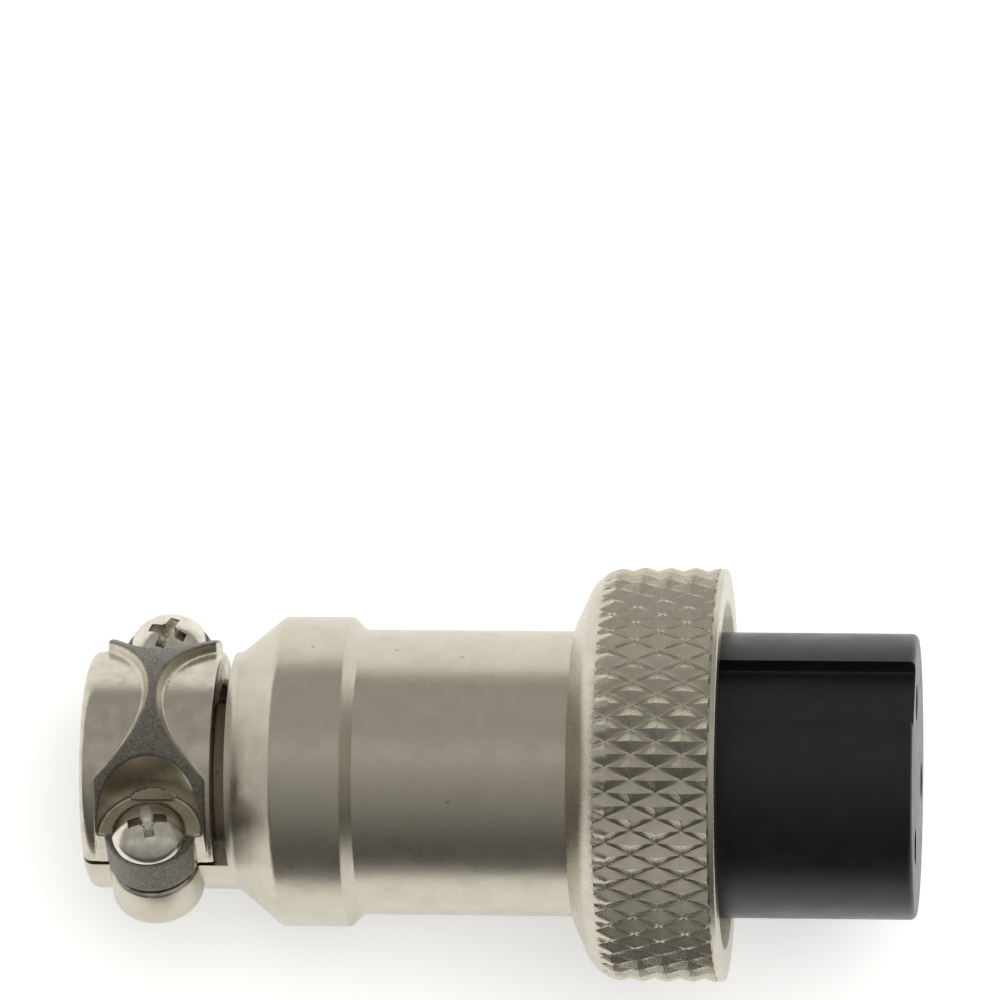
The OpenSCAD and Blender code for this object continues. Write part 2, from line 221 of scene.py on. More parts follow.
class PlugInsertSizes(bpy.types.PropertyGroup):
    body: size("Insert", "Outer diameter of the insert", 13.1)
    bevel: size("Bevel", "Bevel round the front face", 0.3)
    key: size("Keyway", "Width of the keyway", 3.4)
    key_depth: size("Keyway depth", "Depth of the keyway", 1)
    mouth: size("Mouths", "Diameter of the openings for the pins", 1.7)
    spigot: size("Spigot", "Diameter of the part that goes through the sleeve", 10.5)
    hole: size("Contact holes", "Diameter of the holes that hold the contacts", 2.2)
    mouth_depth: size("Mouth depth", "Depth of the mouths in front of the contacts", 1.15)


class PlugFinishes(bpy.types.PropertyGroup):
    nickel: colour("Nickel", "Plating on the shell and the nut", (0.55, 0.51, 0.425))
    cast: colour("Cast skin", "Rough plated skin on the saddle's rib", (0.20, 0.19, 0.165))
    steel: colour("Screw plating", "Bright plating on the screws", (0.66, 0.63, 0.55))
    plastic: colour("Insert", "Moulded plastic of the insert", (0.0065, 0.0068, 0.0085))
    silver: colour("Contacts", "Plating on the contacts", (0.74, 0.66, 0.47))


def millimetres(group):
    """The sizes of a group in millimetres, and its angles and counts as they are."""
    values = {}
    for key, prop in group.bl_rna.properties.items():
        if prop.type == "FLOAT" and prop.unit == "LENGTH":
            values[key] = getattr(group, key) * MM
        elif prop.type in {"FLOAT", "INT"}:
            values[key] = getattr(group, key)
    return SimpleNamespace(**values)


# ---------------------------------------------------------------- outlines and meshes

AROUND = 192

# Turns what is drawn along z so that it lies along x, and what is turned about x to stand on z
ALONG_X = Matrix(((0, 0, 1), (1, 0, 0), (0, 1, 0))).to_4x4()
ALONG_Z = Matrix(((0, 1, 0), (0, 0, 1), (1, 0, 0))).to_4x4()


def rounded(corners, steps=5):
    """A closed outline from (x, r, radius) corners, with an arc in place of each corner."""
    outline = []
    count = len(corners)
    for i, (x, r, radius) in enumerate(corners):
        here = Vector((x, r))
        back = Vector(corners[i - 1][:2]) - here
        on = Vector(corners[(i + 1) % count][:2]) - here
        if radius <= 0:
            outline.append(here)
            continue
        half = back.angle(on) / 2
        reach = min(radius / math.tan(half), 0.49 * back.length, 0.49 * on.length)
        centre = here + (back.normalized() + on.normalized()).normalized() * reach / math.cos(half)
        first = here + back.normalized() * reach - centre
        last = here + on.normalized() * reach - centre
        sweep = first.angle_signed(last)
        turn = [Matrix.Rotation(-sweep * k / steps, 2) for k in range(steps + 1)]
        outline.extend(centre + m @ first for m in turn)
    return outline


def spaced(outline, longest):
    """The outline with its long straight stretches along the plug cut into shorter ones."""
    points = []
    for i, here in enumerate(outline):
        following = outline[(i + 1) % len(outline)]
        parts = max(1, math.ceil(abs(following.x - here.x) / longest))
        points.extend(here.lerp(following, k / parts) for k in range(parts))
    return points


def turned(outline, around=AROUND, relief=None, split=None):
    """A mesh from a closed outline of (x, r) turned about x.

    relief(x, r, angle) gives the radius that a modelled surface has there. split(i, j) says
    which way the four-sided face i, j is cut in two, where its fold matters.
    """
    bm = bmesh.new()
    rings = []
    for p in outline:
        ring = []
        for j in range(around):
            angle = math.tau * j / around
            r = relief(p.x, p.y, angle) if relief else p.y
            ring.append(bm.verts.new((p.x, r * math.cos(angle), r * math.sin(angle))))
        rings.append(ring)
    for i, ring in enumerate(rings):
        other = rings[(i + 1) % len(rings)]
        for j in range(around):
            k = (j + 1) % around
            a, b, c, d = ring[j], other[j], other[k], ring[k]
            way = split(i, j) if split else None
            if way is None:
                bm.faces.new((a, b, c, d))
            elif way:
                bm.faces.new((a, b, c))
                bm.faces.new((a, c, d))
            else:
                bm.faces.new((a, b, d))
                bm.faces.new((b, c, d))
    return settle(bm, "turned")


def settle(bm, name):
    """Closes up a mesh under construction and returns it as an object."""
    bmesh.ops.remove_doubles(bm, verts=bm.verts, dist=1e-5)
    bmesh.ops.dissolve_degenerate(bm, dist=1e-6, edges=bm.edges)
    bmesh.ops.recalc_face_normals(bm, faces=bm.faces)
    mesh = bpy.data.meshes.new(name)
    bm.to_mesh(mesh)
    bm.free()
    obj = bpy.data.objects.new(name, mesh)
    bpy.context.scene.collection.objects.link(obj)
    return obj


def prism(outline, low, high):
    """A straight prism over a closed (x, y) outline, from z = low to z = high."""
    bm = bmesh.new()
    floor = [bm.verts.new((p[0], p[1], low)) for p in outline]
    roof = [bm.verts.new((p[0], p[1], high)) for p in outline]
    bm.faces.new(floor)
    bm.faces.new(roof)
    for i in range(len(outline)):
        k = (i + 1) % len(outline)
        bm.faces.new((floor[i], floor[k], roof[k], roof[i]))
    return settle(bm, "prism")


def block(low, high):
    """A straight block between two opposite corners."""
    plan = [(low[0], low[1]), (high[0], low[1]), (high[0], high[1]), (low[0], high[1])]
    return prism(plan, low[2], high[2])


def circle(x, y, radius, first=0.0, last=math.tau, steps=64):
    """Points round a circle, or along an arc of it."""
    whole = abs(last - first) >= math.tau - 1e-6
    count = steps if whole else steps + 1
    angles = [first + (last - first) * k / steps for k in range(count)]
    return [(x + radius * math.cos(angle), y + radius * math.sin(angle)) for angle in angles]


def pillar(x, y, radius, low, high, steps=64):
    """A round bar along the clamp screws."""
    return prism(circle(x, y, radius, steps=steps), low, high)


def rod(radius, low, high, y=0.0, z=0.0, steps=96):
    """A round bar along the plug."""
    bar = prism(circle(0, 0, radius, steps=steps), low, high)
    bar.data.transform(Matrix.Translation((0, y, z)) @ ALONG_X)
    return bar


def bake(obj):
    """Applies what modifies an object to its mesh."""
    bpy.context.view_layer.update()
    seen = obj.evaluated_get(bpy.context.evaluated_depsgraph_get())
    mesh = bpy.data.meshes.new_from_object(seen)
    old = obj.data
    obj.modifiers.clear()
    obj.data = mesh
    bpy.data.meshes.remove(old)
    return obj


def combine(obj, others, operation):
    """Joins, cuts or intersects an object with others, which are used up."""
    for other in others:
        change = obj.modifiers.new(operation.lower(), "BOOLEAN")
        change.operation = operation
        change.solver = "EXACT"
        change.object = other
        bake(obj)
        used = other.data
        bpy.data.objects.remove(other)
        bpy.data.meshes.remove(used)
    return obj


def join(obj, *others):
    return combine(obj, others, "UNION")


def cut(obj, *others):
    return combine(obj, others, "DIFFERENCE")


def keep(obj, *others):
    return combine(obj, others, "INTERSECT")


def soften(obj, width, angle=30, steps=2):
    """Rounds an object's sharp edges."""
    bevel = obj.modifiers.new("soft edges", "BEVEL")
    bevel.width = width
    bevel.segments = steps
    bevel.limit_method = "ANGLE"
    bevel.angle_limit = math.radians(angle)
    bevel.use_clamp_overlap = True
    return bake(obj)


def even(obj, step, rounds=0):
    """Gives a cast piece an even skin with soft edges."""
    skin = obj.modifiers.new("skin", "REMESH")
    skin.mode = "VOXEL"
    skin.voxel_size = step
    skin.adaptivity = 0.0
    if rounds:
        calm = obj.modifiers.new("calm", "SMOOTH")
        calm.factor = 0.5
        calm.iterations = rounds
    return bake(obj)


def shade(obj, crease):
    """Smooth shading, with creases where faces meet at more than an angle in degrees."""
    bm = bmesh.new()
    bm.from_mesh(obj.data)
    for face in bm.faces:
        face.smooth = True
    for edge in bm.edges:
        edge.smooth = len(edge.link_faces) == 2 and edge.calc_face_angle(0.0) < math.radians(crease)
    bm.to_mesh(obj.data)
    bm.free()


def set_down(obj, name, material, nodes, crease=35):
    """Names a finished piece, sets it down on the frame and lets it stand for CAD nodes."""
    shade(obj, crease)
    obj.data.transform(TO_FRAME)
    obj.name = name
    obj.data.name = name
    obj.data.materials.clear()
    obj.data.materials.append(material)
    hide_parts(*nodes)
    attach(obj, BODIES[nodes[0]])
    return obj


# ---------------------------------------------------------------- materials


class Recipe:
    """A node material under construction."""

    def __init__(self, name):
        self.material = bpy.data.materials.new(name)
        self.material.use_nodes = True
        self.tree = self.material.node_tree
        self.tree.nodes.clear()
        self.shader = self.add("ShaderNodeBsdfPrincipled")
        output = self.add("ShaderNodeOutputMaterial")
        self.tree.links.new(self.shader.outputs[0], output.inputs[0])

    def add(self, kind, inputs=None, **settings):
        """A new node. inputs gives its sockets values or links by name or number."""
        node = self.tree.nodes.new(kind)
        for key, value in settings.items():
            setattr(node, key, value)
        for key, value in (inputs or {}).items():
            self.feed(node, key, value)
        return node

    def feed(self, node, key, value):
        if isinstance(value, bpy.types.NodeSocket):
            self.tree.links.new(value, node.inputs[key])
        else:
            node.inputs[key].default_value = value

    def math(self, operation, first, second=0.0, clamp=False):
        node = self.add("ShaderNodeMath", {0: first, 1: second}, operation=operation, use_clamp=clamp)
        return node.outputs[0]

    def place(self):
        """Where a point of the surface is, in millimetres in the frame's axes."""
        coordinates = self.add("ShaderNodeTexCoord")
        inputs = {0: coordinates.outputs["Object"], 1: (MM,) * 3}
        return self.add("ShaderNodeVectorMath", inputs, operation="MULTIPLY").outputs[0]

    def station(self, place):
        """How far along the plug a point is, in millimetres."""
        product = self.add("ShaderNodeVectorMath", {0: place, 1: AHEAD}, operation="DOT_PRODUCT")
        return product.outputs["Value"]

    def noise(self, place, scale, detail=3.0, rough=0.55, **more):
        inputs = {"Scale": scale, "Detail": detail, "Roughness": rough}
        inputs["W" if more.get("noise_dimensions") == "1D" else "Vector"] = place
        return self.add("ShaderNodeTexNoise", inputs, **more).outputs[0]

    def spread(self, value, low, high, to_low=0.0, to_high=1.0):
        """Maps a value from one range to another, clamped."""
        node = self.add("ShaderNodeMapRange", {0: value, 1: low, 2: high, 3: to_low, 4: to_high})
        return node.outputs[0]

    def tint(self, factor, first, second):
        node = self.add("ShaderNodeMix", data_type="RGBA")
        self.feed(node, 0, factor)
        self.feed(node, 6, first)
        self.feed(node, 7, second)
        return node.outputs[2]

    def bump(self, height, distance, after=None):
        """A bump whose full height is a distance in millimetres."""
        inputs = {"Height": height, "Distance": distance / MM, "Strength": 1.0}
        node = self.add("ShaderNodeBump", inputs)
        if after is not None:
            self.feed(node, "Normal", after)
        return node.outputs[0]


def rgba(value, red=1.0, green=None, blue=None):
    """A colour with all its parts scaled alike, or each by its own share."""
    green = red if green is None else green
    blue = green if blue is None else blue
    return (value[0] * red, value[1] * green, value[2] * blue, 1.0)


def turned_nickel(name, value, lines=1.0, rough=(0.24, 0.36), pits=0.4):
    """Plated metal with fine lines from turning, small dark pits and soft blotches."""
    mix = Recipe(name)
    place = mix.place()
    station = mix.station(place)
    fine = mix.noise(station, 26.0, 4.0, 0.7, noise_dimensions="1D")
    broad = mix.noise(station, 5.0, 2.0, 0.5, noise_dimensions="1D")
    broken = mix.noise(place, 3.5, 4.0, 0.6)
    blotch = mix.noise(place, 0.8, 3.0, 0.55)
    grit = mix.noise(place, 30.0, 2.0, 0.6)
    cells = mix.add("ShaderNodeTexVoronoi", {"Vector": place, "Scale": 0.55, "Randomness": 1.0})
    pit = mix.spread(cells.outputs["Distance"], 0.02, 0.075, pits, 0.0)
    tone = mix.math("ADD", mix.spread(broken, 0.3, 0.7, 0.0, 0.5), mix.spread(fine, 0.3, 0.7, 0.0, 0.5))
    worn = mix.tint(tone, rgba(value, 0.92), rgba(value, 1.05))
    stained = mix.tint(mix.spread(blotch, 0.52, 0.75, 0.0, 0.35), worn, rgba(value, 0.84, 0.84, 0.78))
    mix.feed(mix.shader, "Base Color", mix.tint(pit, stained, rgba(value, 0.12)))
    mix.shader.inputs["Metallic"].default_value = 1.0
    mix.feed(mix.shader, "Roughness", mix.spread(mix.math("ADD", blotch, grit), 0.7, 1.3, rough[0], rough[1]))
    cuts = mix.bump(fine, 0.0035 * lines)
    waves = mix.bump(broad, 0.004 * lines, cuts)
    grain = mix.bump(grit, 0.0012, waves)
    sunk = mix.bump(mix.math("SUBTRACT", 1.0, pit), 0.02, grain)
    mix.feed(mix.shader, "Normal", sunk)
    return mix.material


def knurled_nickel(name, value):
    """Plated metal of the nut: bright on the rolled facets, with painted brown shade darkening the knurl's
    grooves.
    """
    mix = Recipe(name)
    place = mix.place()
    coarse = mix.noise(place, 1.1, 3.0, 0.55)
    grit = mix.noise(place, 14.0, 4.0, 0.65)
    hollow = mix.add("ShaderNodeAmbientOcclusion", {"Distance": 0.0005}, samples=8, only_local=True)
    # Painted shade: the grooves' ambient occlusion darkens the plating towards brown where they are enclosed
    painted_groove_shade = mix.spread(hollow.outputs["AO"], 0.35, 0.8, 0.75, 0.0)
    unshaded = mix.tint(mix.spread(coarse, 0.35, 0.7), rgba(value, 1.06), rgba(value, 0.9, 0.93, 0.9))
    mix.feed(mix.shader, "Base Color", mix.tint(painted_groove_shade, unshaded, rgba(value, 0.34, 0.29, 0.24)))
    mix.shader.inputs["Metallic"].default_value = 1.0
    mix.feed(mix.shader, "Roughness", mix.spread(grit, 0.35, 0.7, 0.2, 0.36))
    mix.feed(mix.shader, "Normal", mix.bump(grit, 0.012))
    return mix.material


def cast_nickel(name, value, skin, grain):
    """Cast and plated metal of the saddle: rough and dark on the rib's back, smooth elsewhere."""
    mix = Recipe(name)
    place = mix.place()
    rough_part = mix.add("ShaderNodeAttribute", attribute_name="cast_skin").outputs["Fac"]
    grain_noise = mix.noise(place, 9.0, 5.0, 0.7)
    soft = mix.noise(place, 1.4, 3.0, 0.5)
    fine = mix.noise(place, 28.0, 2.0, 0.6)
    smooth = mix.tint(mix.spread(soft, 0.35, 0.7), rgba(value, 1.05), rgba(value, 0.86))
    rough = mix.tint(mix.spread(grain_noise, 0.35, 0.65), rgba(skin, 0.6), rgba(skin, 1.5))
    mix.feed(mix.shader, "Base Color", mix.tint(rough_part, smooth, rough))
    mix.shader.inputs["Metallic"].default_value = 1.0
    polish = mix.spread(soft, 0.3, 0.7, 0.2, 0.3)
    mix.feed(mix.shader, "Roughness", mix.math("ADD", polish, mix.math("MULTIPLY", rough_part, 0.22)))
    height = mix.math("MULTIPLY", grain_noise, mix.math("ADD", rough_part, 0.03))
    mix.feed(mix.shader, "Normal", mix.bump(fine, 0.002, mix.bump(height, grain)))
    return mix.material


def bright_plating(name, value):
    """Shiny plating with faint handling marks, as on small screws."""
    mix = Recipe(name)
    place = mix.place()
    soft = mix.noise(place, 2.2, 3.0, 0.5)
    fine = mix.noise(place, 18.0, 3.0, 0.6)
    tone = mix.spread(soft, 0.35, 0.7)
    mix.feed(mix.shader, "Base Color", mix.tint(tone, rgba(value, 1.05), rgba(value, 0.8)))
    mix.shader.inputs["Metallic"].default_value = 1.0
    mix.feed(mix.shader, "Roughness", mix.spread(soft, 0.3, 0.7, 0.1, 0.2))
    mix.feed(mix.shader, "Normal", mix.bump(fine, 0.004))
    return mix.material


def moulded_plastic(name, value):
    """Near-black moulded plastic with a faint skin and a few scuffs."""
    mix = Recipe(name)
    place = mix.place()
    skin = mix.noise(place, 22.0, 3.0, 0.6)
    cloud = mix.noise(place, 0.9, 3.0, 0.5)
    scuff = mix.noise(place, 4.5, 6.0, 0.75)
    worn = mix.spread(scuff, 0.62, 0.72, 0.0, 0.5)
    base = mix.tint(mix.spread(cloud, 0.3, 0.7), rgba(value, 0.85), rgba(value, 1.3))
    mix.feed(mix.shader, "Base Color", mix.tint(worn, base, rgba(value, 2.2)))
    gloss = mix.spread(cloud, 0.3, 0.7, 0.3, 0.4)
    mix.feed(mix.shader, "Roughness", mix.math("ADD", gloss, mix.math("MULTIPLY", worn, 0.15)))
    mix.shader.inputs["Specular IOR Level"].default_value = 0.35
    mix.feed(mix.shader, "Normal", mix.bump(skin, 0.004))
    return mix.material


# ---------------------------------------------------------------- the pieces


class PLUG_OT_back_shell(bpy.types.Operator):
    """Turn the back shell, mill its slot and shape the fixed half of the clamp"""

    bl_idname = "plug.back_shell"
    bl_label = "Back shell"

    def execute(self, context):
        s = millimetres(context.scene.plug_shell)
        c = millimetres(context.scene.plug_clamp)
        shell = turned(shell_outline(s))
        slot = s.saddle + s.slot
        cut(shell, block((-1, -s.collar, -s.split / 2), (slot, s.collar, s.collar)))
        for side in (-1, 1):
            ear = prism(ear_plan(c, s, side), -c.ear, -s.split / 2)
            join(shell, cut(soften(ear, 0.22, steps=3), rod(s.cable / 2 + 0.2, -1, slot)))
        for side in (-1, 1):
            cut(shell, pillar(screw_station(s), side * c.screw_reach, c.screw / 2 + 0.05, -c.ear - 1, 1))
        place = lock_screw_place()
        cut(shell, pillar(place.x, place.y, place.radius + 0.05, -s.barrel, -s.chamber / 4))
        nickel = turned_nickel("shell plating", context.scene.plug_finishes.nickel)
        set_down(shell, "turned_back_shell", nickel, ["back_shell"], crease=30)
        return {"FINISHED"}


def screw_station(s):
    """The clamp screws stand a little in front of the saddle's middle."""
    return s.saddle * 0.54


def shell_outline(s):
    """The shell's closed section, from the cable end along the outside and back inside."""
    slot = s.saddle + s.slot
    foot = slot + s.neck
    rise = (s.collar - s.tube) / 2
    collar = foot + rise / math.tan(s.cone) + s.neck_round * math.tan(s.cone / 2)
    front = collar + s.collar_length
    step = (s.collar - s.barrel) / 2
    end = extent("back_shell").end
    flare = (s.chamber - s.cable) / 2
    bore_end = slot + s.cable_run
    return spaced(
        rounded(
            [
                (0, s.cable / 2 + s.lead_in, 0),
                (0, s.tube / 2, s.tube_edge),
                (foot, s.tube / 2, s.neck_round),
                (collar, s.collar / 2, s.shoulder),
                (front, s.collar / 2, s.edge),
                (front + step, s.barrel / 2, s.edge / 2),
                (end, s.barrel / 2, s.edge),
                (end, s.thread / 2, 0.05),
                (end - s.thread_length, s.thread / 2, 0),
                (end - s.thread_length, s.chamber / 2, 0),
                (bore_end + flare, s.chamber / 2, 0.2),
                (bore_end, s.cable / 2, 0.2),
                (s.lead_in, s.cable / 2, 0),
            ]
        ),
        1.5,
    )


def ear_plan(c, s, side):
    """One ear seen along the screws: a round end and a root inside the tube's wall."""
    x = screw_station(s)
    tip = c.reach - c.ear_round
    root = s.cable / 2 + 0.1
    points = [(x + c.ear_round, root)]
    points += circle(x, tip, c.ear_round, 0.0, math.pi, 32)
    points += [(x - c.ear_round, root)]
    return [(px, side * py) for px, py in points]


def lock_screw_place():
    """Where the locking screw stands, from its CAD node."""
    points = plug_points("lock_screw")
    low_x, high_x = min(p.x for p in points), max(p.x for p in points)
    low_y, high_y = min(p.y for p in points), max(p.y for p in points)
    return SimpleNamespace(x=(low_x + high_x) / 2, y=(low_y + high_y) / 2, radius=(high_x - low_x) / 2)


class PLUG_OT_saddle(bpy.types.Operator):
    """Cast the loose half of the clamp, with its rib, seats and rough skin"""

    bl_idname = "plug.saddle"
    bl_label = "Clamp saddle"

    def execute(self, context):
        s = millimetres(context.scene.plug_shell)
        c = millimetres(context.scene.plug_clamp)
        x = screw_station(s)
        saddle = turned(saddle_outline(s))
        cut(saddle, block((-1, -s.collar, -s.collar), (s.saddle + 1, s.collar, s.split / 2)))
        join(saddle, saddle_rib(c, x))
        for side in (-1, 1):
            join(saddle, soften(prism(ear_plan(c, s, side), s.split / 2, c.seat), 0.15))
        cut(saddle, rod(s.cable / 2, -1, s.saddle + 1))
        for side in (-1, 1):
            y = side * c.screw_reach
            cut(saddle, pillar(x, y, c.spot / 2, c.seat, c.rib))
            cut(saddle, pillar(x, y, c.screw / 2 + c.clearance, -1, c.seat + 1))
        even(saddle, c.skin, 2)
        mark_cast_skin(saddle, c)
        finishes = context.scene.plug_finishes
        skin = cast_nickel("saddle plating", finishes.nickel, finishes.cast, c.grain)
        set_down(saddle, "cast_saddle", skin, ["clamp_saddle"], crease=70)
        return {"FINISHED"}


def saddle_outline(s):
    """The saddle's closed section over the cable bore, which is cut afterwards."""
    return spaced(
        rounded(
            [
                (0, s.cable / 2 - 0.5, 0),
                (0, s.tube / 2, s.tube_edge),
                (s.saddle, s.tube / 2, 0.15),
                (s.saddle, s.cable / 2 - 0.5, 0),
            ]
        ),
        1.5,
    )


def saddle_rib(c, x):
    """A rib round the saddle's back that is narrow at its crown and flares to the screws."""
    rib = rod(c.rib / 2, x - c.rib_end / 2, x + c.rib_end / 2, steps=AROUND)
    keep(rib, block((x - c.rib_end, -c.screw_reach, 0.2), (x + c.rib_end, c.screw_reach, c.rib)))
    for side in (-1, 1):
        flank = prism(circle(side * c.flank, 0, c.flank, steps=160), -1.5 * c.rib, 1.5 * c.rib)
        lean = Matrix.Rotation(-side * c.flank_slope, 4, "Y")
        flank.data.transform(Matrix.Translation((x + side * c.waist / 2, 0, c.rib / 2)) @ lean)
        cut(rib, flank)
    return rib


def mark_cast_skin(obj, c):
    """Marks the rib's round back, which keeps the rough skin of the casting."""
    mask = obj.data.attributes.new("cast_skin", "FLOAT", "POINT")
    for vertex in obj.data.vertices:
        height = radius_of(vertex.co) - c.rib / 2
        mask.data[vertex.index].value = max(0.0, min(1.0, (height + 0.12) / 0.08))


class PLUG_OT_clamp_screws(bpy.types.Operator):
    """Turn the two clamp screws with their cross recesses"""

    bl_idname = "plug.clamp_screws"
    bl_label = "Clamp screws"

    def execute(self, context):
        s = millimetres(context.scene.plug_shell)
        c = millimetres(context.scene.plug_clamp)
        plating = bright_plating("screw plating", context.scene.plug_finishes.steel)
        for side, turn in ((-1, 12), (1, -20)):
            screw = pan_screw(c, math.radians(turn))
            screw.data.transform(Matrix.Translation((screw_station(s), side * c.screw_reach, c.seat)))
            name = "clamp_screw_lower" if side < 0 else "clamp_screw_upper"
            set_down(screw, name, plating, ["clamp_screws"], crease=40)
        return {"FINISHED"}


def pan_screw(c, turn):
    """A pan-head screw along z, its head standing on z = 0."""
    rise = c.head_height - c.head_edge
    dome = ((c.head / 2) ** 2 + rise**2) / (2 * rise)
    half = math.asin(c.head / 2 / dome)
    centre = c.head_height - dome
    angles = [half * k / 14 for k in range(15)]
    outline = [Vector((centre + dome * math.cos(angle), dome * math.sin(angle))) for angle in angles]
    rim = 0.04
    outline += [Vector(p) for p in ((rim, c.head / 2), (0, c.head / 2 - rim), (0, c.screw / 2))]
    plain, depth, rings = 0.3, 0.2, 8
    threads = math.floor((c.screw_length - plain - depth) / c.screw_pitch) * rings
    outline += [Vector((-plain - k * c.screw_pitch / rings, c.screw / 2)) for k in range(threads + 1)]
    tip = ((-c.screw_length + 0.1, 0.1), (-c.screw_length, 0.3), (-c.screw_length, c.screw / 2))
    outline += [Vector((x, c.screw / 2 - inset)) for x, inset in tip]
    last = -plain - threads * c.screw_pitch / rings

    def thread(x, r, angle):
        if not last < x < -plain:
            return r
        phase = (x / c.screw_pitch + angle / math.tau) % 1.0
        return r - depth * abs(2 * phase - 1)

    screw = turned(outline, around=72, relief=thread)
    screw.data.transform(ALONG_Z)
    recess = cross_recess(c)
    recess.data.transform(Matrix.Translation((0, 0, c.head_height)) @ Matrix.Rotation(turn, 4, "Z"))
    return cut(screw, recess)


def cross_recess(c):
    """The tapered cross that is sunk in a screw head, its top at z = 0."""
    top, wide = c.recess / 2, c.recess_width / 2
    over = 0.4
    levels = (
        (over, top * 1.15, wide * 1.1),
        (-c.recess_depth * 0.55, top * 0.8, wide * 0.85),
        (-c.recess_depth, top * 0.3, wide * 0.6),
    )
    parts = []
    for turn in (0, math.pi / 2):
        bm = bmesh.new()
        rings = []
        for z, reach, half in levels:
            corners = ((-reach, -half), (reach, -half), (reach, half), (-reach, half))
            rings.append([bm.verts.new((x, y, z)) for x, y in corners])
        bm.faces.new(rings[0])
        bm.faces.new(rings[-1])
        for upper, lower in zip(rings, rings[1:]):
            for i in range(4):
                k = (i + 1) % 4
                bm.faces.new((upper[i], upper[k], lower[k], lower[i]))
        bar = settle(bm, "recess")
        bar.data.transform(Matrix.Rotation(turn, 4, "Z"))
        parts.append(bar)
    cone = ((over, 0), (over, wide * 2.1), (-c.recess_depth * 0.8, wide * 1.3), (-c.recess_depth * 1.1, 0))
    heart = turned([Vector(p) for p in cone], around=32)
    heart.data.transform(ALONG_Z)
    return join(parts[0], parts[1], heart)


class PLUG_OT_coupling_nut(bpy.types.Operator):
    """Turn the coupling nut with its diamond knurl and coupling thread"""

    bl_idname = "plug.coupling_nut"
    bl_label = "Coupling nut"

    def execute(self, context):
        n = millimetres(context.scene.plug_nut)
        cad = extent("coupling_nut")
        outline, knurl = nut_outline(n, cad)
        relief = nut_relief(n, cad, knurl)
        around = 2 * n.knurl_count * len(CELL)
        nut = turned(outline, around=around, relief=relief, split=knurl_split(knurl))
        nickel = knurled_nickel("nut plating", context.scene.plug_finishes.nickel)
        set_down(nut, "knurled_coupling_nut", nickel, ["coupling_nut"], crease=24)
        return {"FINISHED"}


# Where the points of one knurl cell lie along each side, alike from both ends
CELL = (0.0, 0.09, 0.3, 0.5, 0.7, 0.91)


def nut_outline(n, cad):
    """The nut's closed section and the stretch that the knurl fills."""
    back, front, top = cad.start, cad.end, cad.radius
    bore = cad.bore
    thread = n.thread / 2
    land = bore + n.land
    curve = top - n.back_round
    run = (curve + n.back_round * math.cos(n.back_slope) - land) / math.tan(n.back_slope)
    shoulder = back + run + n.back_round * math.sin(n.back_slope)
    entry = 0.06
    outline = [Vector((back, bore + entry)), Vector((back, land))]
    for k in range(9):
        angle = n.back_slope * (1 - k / 9)
        x = shoulder - n.back_round * math.sin(angle)
        outline.append(Vector((x, curve + n.back_round * math.cos(angle))))
    last = front - n.rim
    cells = math.ceil((last - shoulder + n.back_round * 0.5) / n.knurl_row)
    first = last - cells * n.knurl_row
    outline = [p for p in outline if p.x < first - 0.02]
    knurl = SimpleNamespace(first=first, last=last, cells=cells, at=len(outline))
    stations = [first + (row + share) * n.knurl_row for row in range(cells) for share in CELL]
    outline += [Vector((x, nut_skin(n, shoulder, top, x))) for x in stations]
    outline.append(Vector((last, top)))
    groove = ((0.02, n.rim_groove), (0.07, n.rim_groove), (0.1, 0.02))
    outline += [Vector((last + ahead, top - sunk)) for ahead, sunk in groove]
    chamfer = 0.55
    rim = [(front, top - 0.02, n.edge), (front, thread + chamfer, 0.08), (front - chamfer, thread, 0)]
    outline += rounded([(last + 0.1, top - 0.02, 0)] + rim)[1:-1]
    mouth = front - 0.6
    turns = mouth - (back + 2 * n.lip)
    steps = math.ceil(turns / n.thread_pitch * 10)
    outline += [Vector((mouth - turns * k / steps, thread)) for k in range(steps + 1)]
    lip, deep = back + n.lip, thread + n.thread_depth
    inside = ((back + 2 * n.lip - 0.3, deep), (lip, deep), (lip, bore), (back + entry, bore))
    outline += [Vector(p) for p in inside]
    return outline, knurl


def nut_skin(n, shoulder, top, x):
    """The radius of the plain nut at x: straight in front of the shoulder, round behind it."""
    if x >= shoulder:
        return top
    inside = max(0.0, n.back_round**2 - (shoulder - x) ** 2)
    return top - n.back_round + math.sqrt(inside)


def nut_relief(n, cad, knurl):
    """The radius of the nut with its knurl outside and its thread inside."""
    step = math.pi / n.knurl_count
    thread = n.thread / 2

    def relief(x, r, angle):
        if r > thread + 0.6 and knurl.first - 1e-6 <= x <= knurl.last + 1e-6:
            row = (x - knurl.first) / n.knurl_row
            column = angle / step
            return min(r, cad.radius - n.knurl_depth * knurl_depth_at(row, column, knurl.cells))
        if abs(r - thread) < 0.01:
            phase = (x / n.thread_pitch + angle / math.tau) % 1.0
            return r + n.thread_depth * max(0.0, min(1.0, 1.25 * (1 - abs(2 * phase - 1)) - 0.1))
        return r

    return relief


def knurl_depth_at(row, column, cells):
    """The share of the full depth, 0 on a point of the knurl and 1 along its grooves."""
    across, up = row - math.floor(row), column - math.floor(column)
    if (math.floor(row) + math.floor(column) + cells) % 2:
        across = 1 - across
    fold = 1 - abs(1 - across - up)
    return max(0.0, min(1.0, (fold - 0.05) / 0.88))


def knurl_split(knurl):
    """Folds each small face of the knurl the way its groove runs."""

    def split(i, j):
        row = (i - knurl.at) // len(CELL)
        if not 0 <= row < knurl.cells:
            return None
        return (row + j // len(CELL) + knurl.cells) % 2 == 1

    return split


